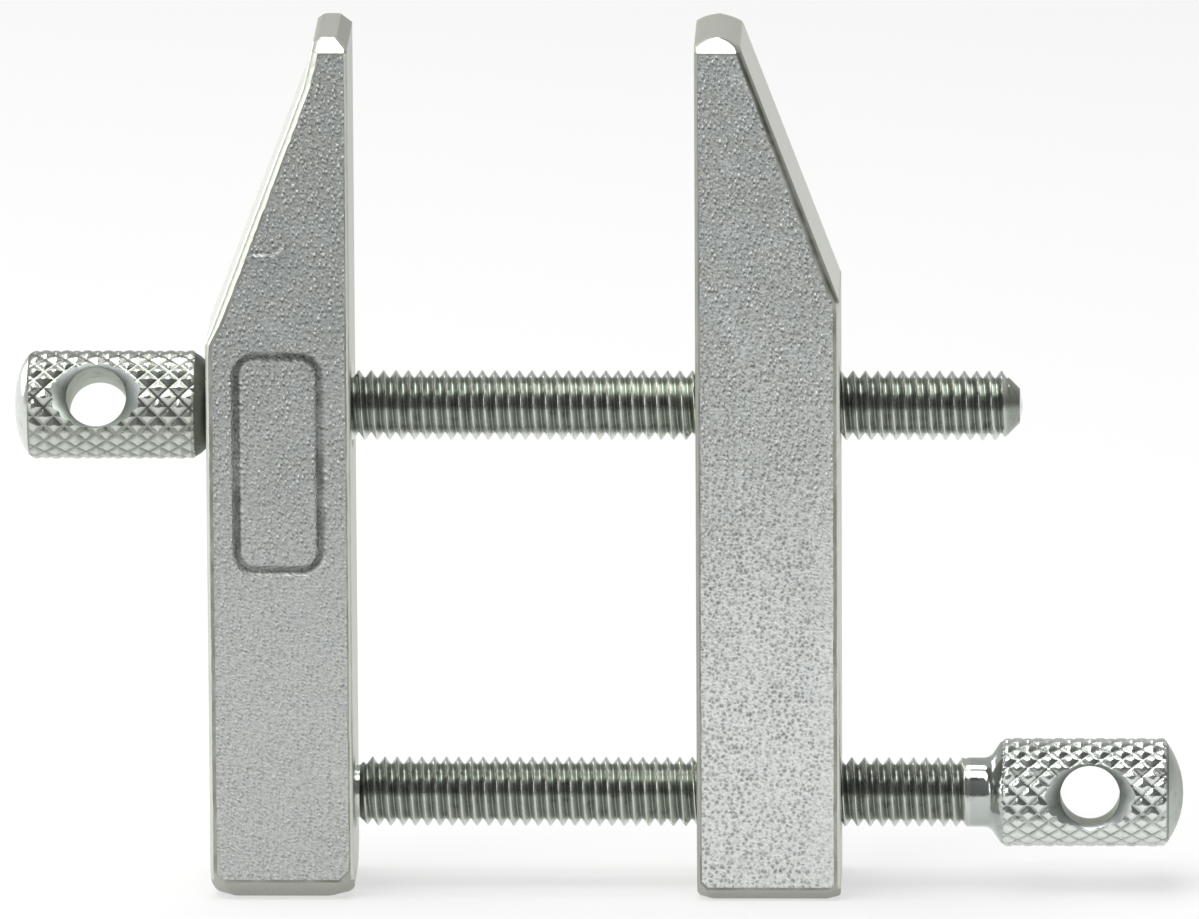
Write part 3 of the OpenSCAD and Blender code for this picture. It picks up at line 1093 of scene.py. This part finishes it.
def ring_faces(first, second):
    """Quads between two rings of the same size, given as point numbers."""
    size = len(first)
    return [[first[j], second[j], second[(j + 1) % size], first[(j + 1) % size]] for j in range(size)]


# %% [markdown]
# A head is rings too: small ones close together over its crown, where it is smooth, and even ones
# along the knurl. Then neck, thread and tail follow, each joined to the ring before it.

# %% Build a screw
on_thread, on_knurl, on_turned, on_neck, on_crown, on_bore, on_sink = range(7)


def knurled_head(columns, flank_share, crown):
    """Points, faces and finish numbers of a head, from its apex to the end of its knurl at X = 0."""
    angles = np.linspace(0, 2 * math.pi, columns, endpoint=False)
    crown_rows = np.linspace(0.15, 1, crown_rings) ** 2 * crown_zone
    knurled_rows = np.arange(crown_zone + knurl_rows, head_len, knurl_rows)
    s = np.concatenate([crown_rows, knurled_rows, [head_len]])
    bevel = head_r + bevel_start - np.maximum(s - (head_len - head_bevel), 0)
    radius = np.minimum(knurl_radius(angles[None, :], s[:, None], flank_share), crown(s)[:, None])
    radius = np.minimum(radius, bevel[:, None])
    x = s[:, None] - head_len + 0 * radius
    rings = np.stack([x, radius * np.cos(angles), radius * np.sin(angles)], -1)
    points = [np.array([[-head_len, 0, 0]]), rings.reshape(-1, 3)]
    faces = [[0, 1 + (j + 1) % columns, 1 + j] for j in range(columns)]
    faces += [[1 + i for i in face][::-1] for face in loft_faces(len(s), columns)]
    smooth_rows = 1 + int(np.sum(s < smooth_crown))
    finish_of_face = [on_crown] * (smooth_rows * columns) + [on_knurl] * ((len(s) - smooth_rows) * columns)
    return points, faces, finish_of_face


def build_screw(name, place, looks, head, neck, thread, tail):
    """A screw: place is where its knurl ends, the sign of X from head to shank, and its height."""
    head_x, along, height = place
    knurl_finish, crown_finish, neck_finish = looks
    thread_end, envelope, run_out = thread
    columns = diamonds * points_per_diamond
    points, faces, finish_of_face = knurled_head(columns, *head)
    count = sum(len(part) for part in points)
    last, size = count - columns, columns
    for x, r in neck:
        finer = size > thread_columns
        ring = round_ring(x, r, size // 2 if finer else size)
        points.append(ring)
        if finer:
            made = halving_faces(last, count, size)
            size //= 2
        else:
            made = ring_faces(range(last, last + size), range(count, count + size))
        faces += made
        finish_of_face += [on_neck] * len(made)
        last = count
        count += size

    grid, per_pitch = thread_points(neck[-1][0], thread_end, envelope, run_out)
    samples = grid.shape[1]
    made = [[count + i for i in face] for face in thread_faces(samples, per_pitch)]
    points.append(grid.reshape(-1, 3))
    join = ring_faces(range(last, last + size), range(count, count + size * samples, samples))
    faces += join + made
    finish_of_face += [on_turned] * len(join) + [on_thread] * len(made)
    ends = [count + j * samples + samples - 1 for j in range(size)]
    count += grid.shape[0] * samples
    for x, r in tail:
        points.append(round_ring(x, r, size))
        made = ring_faces(ends, range(count, count + size))
        faces += made
        finish_of_face += [on_turned] * len(made)
        ends = list(range(count, count + size))
        count += size
    faces.append(ends[::-1])
    finish_of_face.append(on_turned)

    points = np.concatenate(points)
    points[:, 0] = head_x + along * points[:, 0]
    points[:, 1] *= along
    points[:, 2] += height
    finishes = [thread_finish, knurl_finish, turned_finish, neck_finish, crown_finish]
    finishes += [bore_finish, sink_finish]
    piece = new_piece(name, points, faces, finishes, finish_of_face, (0, 0, height))
    merge_doubles(piece)
    print(name, len(piece.data.vertices), "points,", len(piece.data.polygons), "faces")
    return piece


# %% [markdown]
# ## Tommy-bar holes
# Each head is drilled across for a bar that gives more leverage, and both mouths are countersunk so
# that the bar slips in. The frame's record says where each hole is and which way it points.

# %% Cutter for a tommy-bar hole
sink_r = 2.62
screw_corner = 38


def bar_cutter(name, mount):
    """Round cutter along a mount's axis, widening to a countersink at both ends."""
    centre = np.array(mount["pos_m"]) / MM
    axis = Vector(mount["axis"]).normalized()
    bore_r = mount["dims"]["r_mm"]
    wide = head_r - (sink_r - bore_r)
    profile = [(-head_r - reach, sink_r + reach), (-wide - 0.1, bore_r + 0.1), (-wide + 0.06, bore_r)]
    profile += [(-t, r) for t, r in profile[::-1]]
    turned = turned_cutter(name, 0, profile, [on_sink, on_sink, on_bore, on_sink, on_sink])
    spin = Vector((1, 0, 0)).rotation_difference(axis).to_matrix().to_4x4()
    turned.data.transform(spin)
    turned.location = Vector(centre) * MM
    return turned


# %% [markdown]
# The front screw's head ends in a rounded crown and sits with a cone in the plain jaw's seat. Its far
# end is bevelled, so that it starts easily in its thread.

# %% Front screw
front_low, front_high = box_mm("front_screw")
front_head_x = front_low[0] + head_len
front_len = front_high[0] - front_head_x
end_bevel, end_dome = 1.0, 0.15
cone = head_r - thread_r
front_screw = build_screw(
    "front_screw_knurled",
    place=(front_head_x, 1, axis_z["front_screw"]),
    looks=(front_knurl, turned_finish, shaded_finish),
    head=(0.85, elliptic_crown(1.33)),
    neck=[(0.35, head_r - 0.35), (0.75, head_r - 0.75), (cone, thread_r), (cone + 0.3, thread_r)],
    thread=(
        front_len - end_dome,
        lambda x: thread_r - end_bevel + front_len - end_dome - x,
        lambda x: smooth_step(x, cone + 0.3, cone + 1.2),
    ),
    tail=[(front_len - 0.09, 0.62), (front_len - 0.03, 0.3), (front_len, 0.02)],
)
carve(front_screw, bar_cutter("front_bar_cutter", mounts["front_bar_hole"]))
soften(front_screw, screw_corner)
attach(front_screw, "front_screw")
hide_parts("front_screw")
print("front screw:", round(front_len, 2), "from head to end")

# %% [markdown]
# The rear screw is turned round: its head has a shallow dome and a neck with a hollow curve, and its
# far end is a plain pilot that pushes in the plain jaw's socket.

# %% Rear screw
rear_low, rear_high = box_mm("rear_screw")
rear_head_x = rear_high[0] - head_len
pilot_r, pilot_len, pilot_bevel = 1.5, 4.0, 0.4
shoulder = rear_head_x - rear_low[0] - pilot_len
neck_slope = math.radians(55)
neck_fillet = 0.6
fillet_rise = neck_fillet * (1 - math.cos(neck_slope))
cone_len = (head_r - thread_r - fillet_rise) / math.tan(neck_slope)
neck_len = cone_len + neck_fillet * math.sin(neck_slope)
neck_rings = [(0.15, head_r - 0.15 * math.tan(neck_slope)), (cone_len, thread_r + fillet_rise)]
for share in (0.75, 0.5, 0.25, 0):
    lean = neck_slope * share
    ring_x = neck_len - neck_fillet * math.sin(lean)
    neck_rings.append((ring_x, thread_r + neck_fillet * (1 - math.cos(lean))))
thread_start = 1.95
neck_rings += [(thread_start - 0.3, thread_r), (thread_start - 0.1, thread_r)]
rear_screw = build_screw(
    "rear_screw_knurled",
    place=(rear_head_x, -1, axis_z["rear_screw"]),
    looks=(rear_knurl, shaded_dome_finish, cove_finish),
    head=(0.7, domed_crown(1.1)),
    neck=neck_rings,
    thread=(
        shoulder,
        lambda x: np.minimum(thread_r, pilot_r + shoulder - x),
        lambda x: smooth_step(x, thread_start, thread_start + 0.5),
    ),
    tail=[
        (shoulder + 0.02, pilot_r),
        (shoulder + pilot_len - pilot_bevel, pilot_r),
        (shoulder + pilot_len, pilot_r - pilot_bevel),
    ],
)
carve(rear_screw, bar_cutter("rear_bar_cutter", mounts["rear_bar_hole"]))
soften(rear_screw, screw_corner)
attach(rear_screw, "rear_screw")
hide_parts("rear_screw")
print("rear screw:", round(shoulder, 2), "from head to pilot")

# %% [markdown]
# ## Floor and light
# Bright metal shows its surroundings, so the studio matters as much as the finish. The floor is
# plain and pale, and camera and mirror rays see it nearer to white, so that its shadow stays faint.
# A grey card stands towards the camera. Only the metal shows it, as the dim side of the room: the
# camera looks through it, and it casts no shadow. A darker room would dull the floor as well.

# %% Floor and card, in metres
floor_size = 6.0
floor_tone, card_tone = 0.92, 0.17
white_share = 0.6


def flat_card(name, width, depth, place, normal):
    """A rectangle of the given size in metres, facing along its normal."""
    half_w, half_l = width / 2, depth / 2
    mesh = bpy.data.meshes.new(name)
    outline = [(-half_w, -half_l, 0), (half_w, -half_l, 0), (half_w, half_l, 0), (-half_w, half_l, 0)]
    mesh.from_pydata(outline, [], [[0, 1, 2, 3]])
    card = bpy.data.objects.new(name, mesh)
    card.location = place
    card.rotation_euler = Vector(normal).to_track_quat("Z", "Y").to_euler()
    bpy.context.scene.collection.objects.link(card)
    return card


def plain_paper(name, tone):
    """Matt paper with a very faint mottle."""
    finish, shader, place = new_finish(name)
    shader.inputs["Metallic"].default_value = 0.0
    shader.inputs["Roughness"].default_value = 0.9
    shader.inputs["Specular IOR Level"].default_value = 0.1
    mottle = place.noise(0.02, 3.0)
    low, high = tone * 0.985, tone
    feed(shader, base_color=mottle.tint((low, low, low, 1), (high, high, high, 1)))
    return finish


def white_to_the_eye(finish, share):
    """Lets camera and mirror rays see a share of plain white, so that shadows stay but are faint."""
    tree = finish.node_tree
    rays = Wire(tree).node("LightPath", out="Is Camera Ray")
    seen = rays.at_least(rays.also("Is Glossy Ray"))
    seen = seen.at_least(rays.also("Is Transmission Ray")) * share
    white = rays.node("Emission", {}, {"Color": (1, 1, 1, 1), "Strength": 1.0})
    paper = Wire(tree, tree.nodes["Principled BSDF"].outputs[0])
    mixed = rays.node("MixShader", {}, {0: seen, 1: paper, 2: white})
    tree.links.new(mixed.socket, tree.nodes["Material Output"].inputs["Surface"])


floor = flat_card("floor", floor_size, floor_size, (0, 0, 0), (0, 0, 1))
floor_paper = plain_paper("floor_paper", floor_tone)
white_to_the_eye(floor_paper, white_share)
floor.data.materials.append(floor_paper)
front_card = flat_card("front_card", 1.2, 0.25, (0.1, -0.20, 0.137), (0, 1, 0))
front_card.data.materials.append(plain_paper("grey_card", card_tone))
front_card.visible_camera = False
front_card.visible_diffuse = False
front_card.visible_shadow = False
print("stage:", floor.name, front_card.name)

# %% [markdown]
# A soft light hangs overhead and gives the threads their glints. Two weaker ones stand at the left,
# before and behind the clamp, and brighten the sides and tapers that face them.


# %% Lights
def soft_light(name, place, aim, width, length, watts):
    """A rectangular soft light that faces a point."""
    lamp = bpy.data.lights.new(name, "AREA")
    lamp.shape = "RECTANGLE"
    lamp.size = width
    lamp.size_y = length
    lamp.energy = watts
    light = bpy.data.objects.new(name, lamp)
    light.location = place
    light.rotation_euler = (Vector(aim) - Vector(place)).to_track_quat("-Z", "Y").to_euler()
    bpy.context.scene.collection.objects.link(light)
    print(name, watts, "watts")


middle = Vector((0, 0, 0.025))
soft_light("overhead_light", (-0.08, -0.03, 0.42), middle, 0.36, 0.40, 1.9)
soft_light("left_light", (-0.40, -0.15, 0.13), middle, 0.25, 0.20, 0.30)
soft_light("left_back_light", (-0.36, 0.30, 0.09), middle, 0.25, 0.12, 0.34)

# %% [markdown]
# The room itself is grey and gets brighter towards the back and the left, as behind a real table
# with a pale sweep. It is a background whose brightness follows the direction that a ray takes.

# %% Room
world = bpy.data.worlds.new("studio")
world.use_nodes = True
room = Wire(world.node_tree)
direction = room.node("TexCoord", out="Generated")
axes = room.node("SeparateXYZ", {}, {0: direction}, "X")
towards_back = axes.also("Y").rise(-0.3, 0.6)
towards_left = 1 - axes.rise(-0.9, 0.1)
dim, back_gain, left_gain = 0.10, 0.46, 0.30
brightness = dim + towards_back * back_gain + towards_left * (1 - towards_back) * left_gain
room_colour = brightness.tint((0, 0, 0, 1), (1, 1, 0.98, 1))
world.node_tree.links.new(room_colour.socket, world.node_tree.nodes["Background"].inputs["Color"])
bpy.context.scene.world = world
bpy.context.scene.view_settings.view_transform = "Standard"
print("room from", dim, "to", dim + back_gain)

# %% [markdown]
# ## Camera
# The photograph looks slightly down and a touch from the right, from far away with a long lens, so
# parallel edges stay parallel. The frame is 1199 by 919 pixels, and its scale gives the field.

# %% Camera
photo_w = 1199
pixels_per_mm = 17.64
azimuth, elevation = math.radians(1.6), math.radians(13.5)
distance = 1.0
aim = Vector((0, 0, 24.83)) * MM
roll = math.radians(-0.3)
back = Vector(
    (math.sin(azimuth) * math.cos(elevation), -math.cos(azimuth) * math.cos(elevation), math.sin(elevation))
)
lens = bpy.data.cameras.new("camera")
lens.sensor_width = 36
lens.lens = lens.sensor_width * distance / (photo_w / pixels_per_mm * MM)
camera = bpy.data.objects.new("camera", lens)
camera.location = aim + back * distance
camera.rotation_euler = (-back).to_track_quat("-Z", "Y").to_euler()
camera.rotation_euler.rotate_axis("Z", roll)
bpy.context.scene.collection.objects.link(camera)
bpy.context.scene.camera = camera
print("lens", round(lens.lens, 1), "mm")

# %% [markdown]
# Last, the scene is brought up to date.

# %% Bring the scene up to date
bpy.context.view_layer.update()
